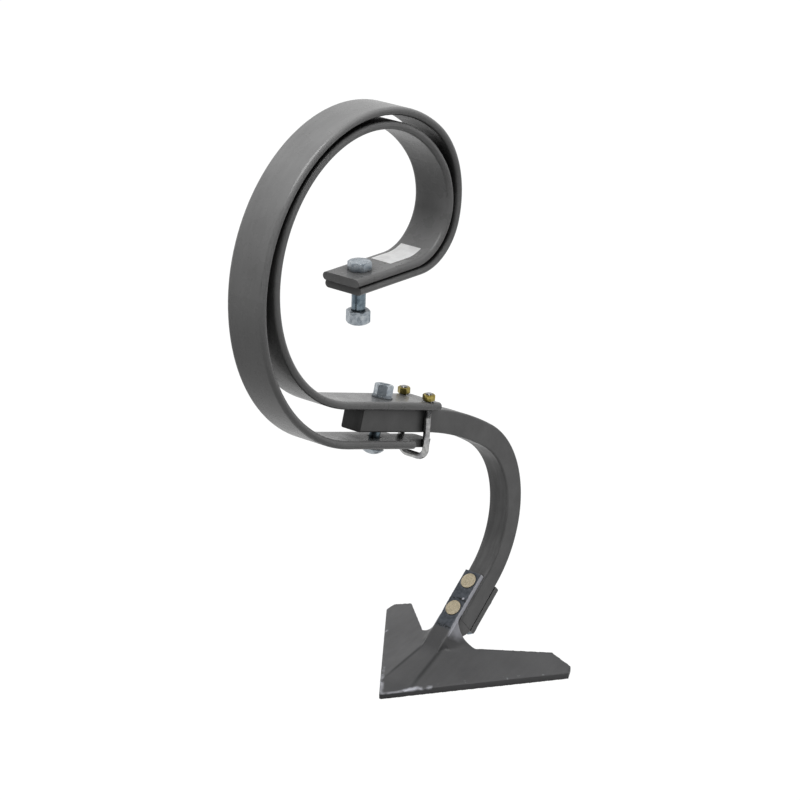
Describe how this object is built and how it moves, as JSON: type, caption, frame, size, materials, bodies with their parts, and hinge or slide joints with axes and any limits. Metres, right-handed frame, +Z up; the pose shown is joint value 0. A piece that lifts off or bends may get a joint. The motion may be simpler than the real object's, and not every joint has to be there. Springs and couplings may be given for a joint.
{
  "type": "s-tine",
  "caption": "Double-leaf spring S-tine with a clamped square shank curving down to a bolted winged sweep, hung from a mounting bolt.",
  "frame": {"origin": "the mounting bolt's axis on the underside of the outer leaf, where the tool bar's bracket bears", "axes": "+X rearwards, against the direction of travel; +Y across, to the left seen from behind the tine; +Z up, with the sweep's cutting edges level"},
  "size_m": [0.597, 0.3504, 0.9199],
  "materials": {
    "leaf_paint": "satin grey paint on spring steel",
    "shank_paint": "satin grey paint on bar steel",
    "sweep_paint": "satin grey paint, worn along the edge",
    "blue_zinc": "clear zinc plate",
    "bright_zinc": "bright zinc plate",
    "yellow_zinc": "yellow chromate zinc plate",
    "plow_zinc": "dull zinc plate",
    "label_paper": "matt white film"
  },
  "bodies": {
    "root": {"outer_leaf": "leaf_paint", "inner_leaf": "leaf_paint", "shank": "shank_paint", "foot_backing_plate": "shank_paint", "sweep": "sweep_paint", "mount_bolt": "blue_zinc", "mount_locknut": "blue_zinc", "clamp_bolt": "blue_zinc", "clamp_washer": "blue_zinc", "clamp_nut": "blue_zinc", "u_bolt": "bright_zinc", "u_bolt_nut_near": "yellow_zinc", "u_bolt_nut_far": "yellow_zinc", "plow_bolt_upper": "plow_zinc", "plow_bolt_lower": "plow_zinc", "plow_nut_upper": "plow_zinc", "plow_nut_lower": "plow_zinc", "plow_washer_upper": "blue_zinc", "plow_washer_lower": "blue_zinc", "label": "label_paper"}
  },
  "joints": []
}
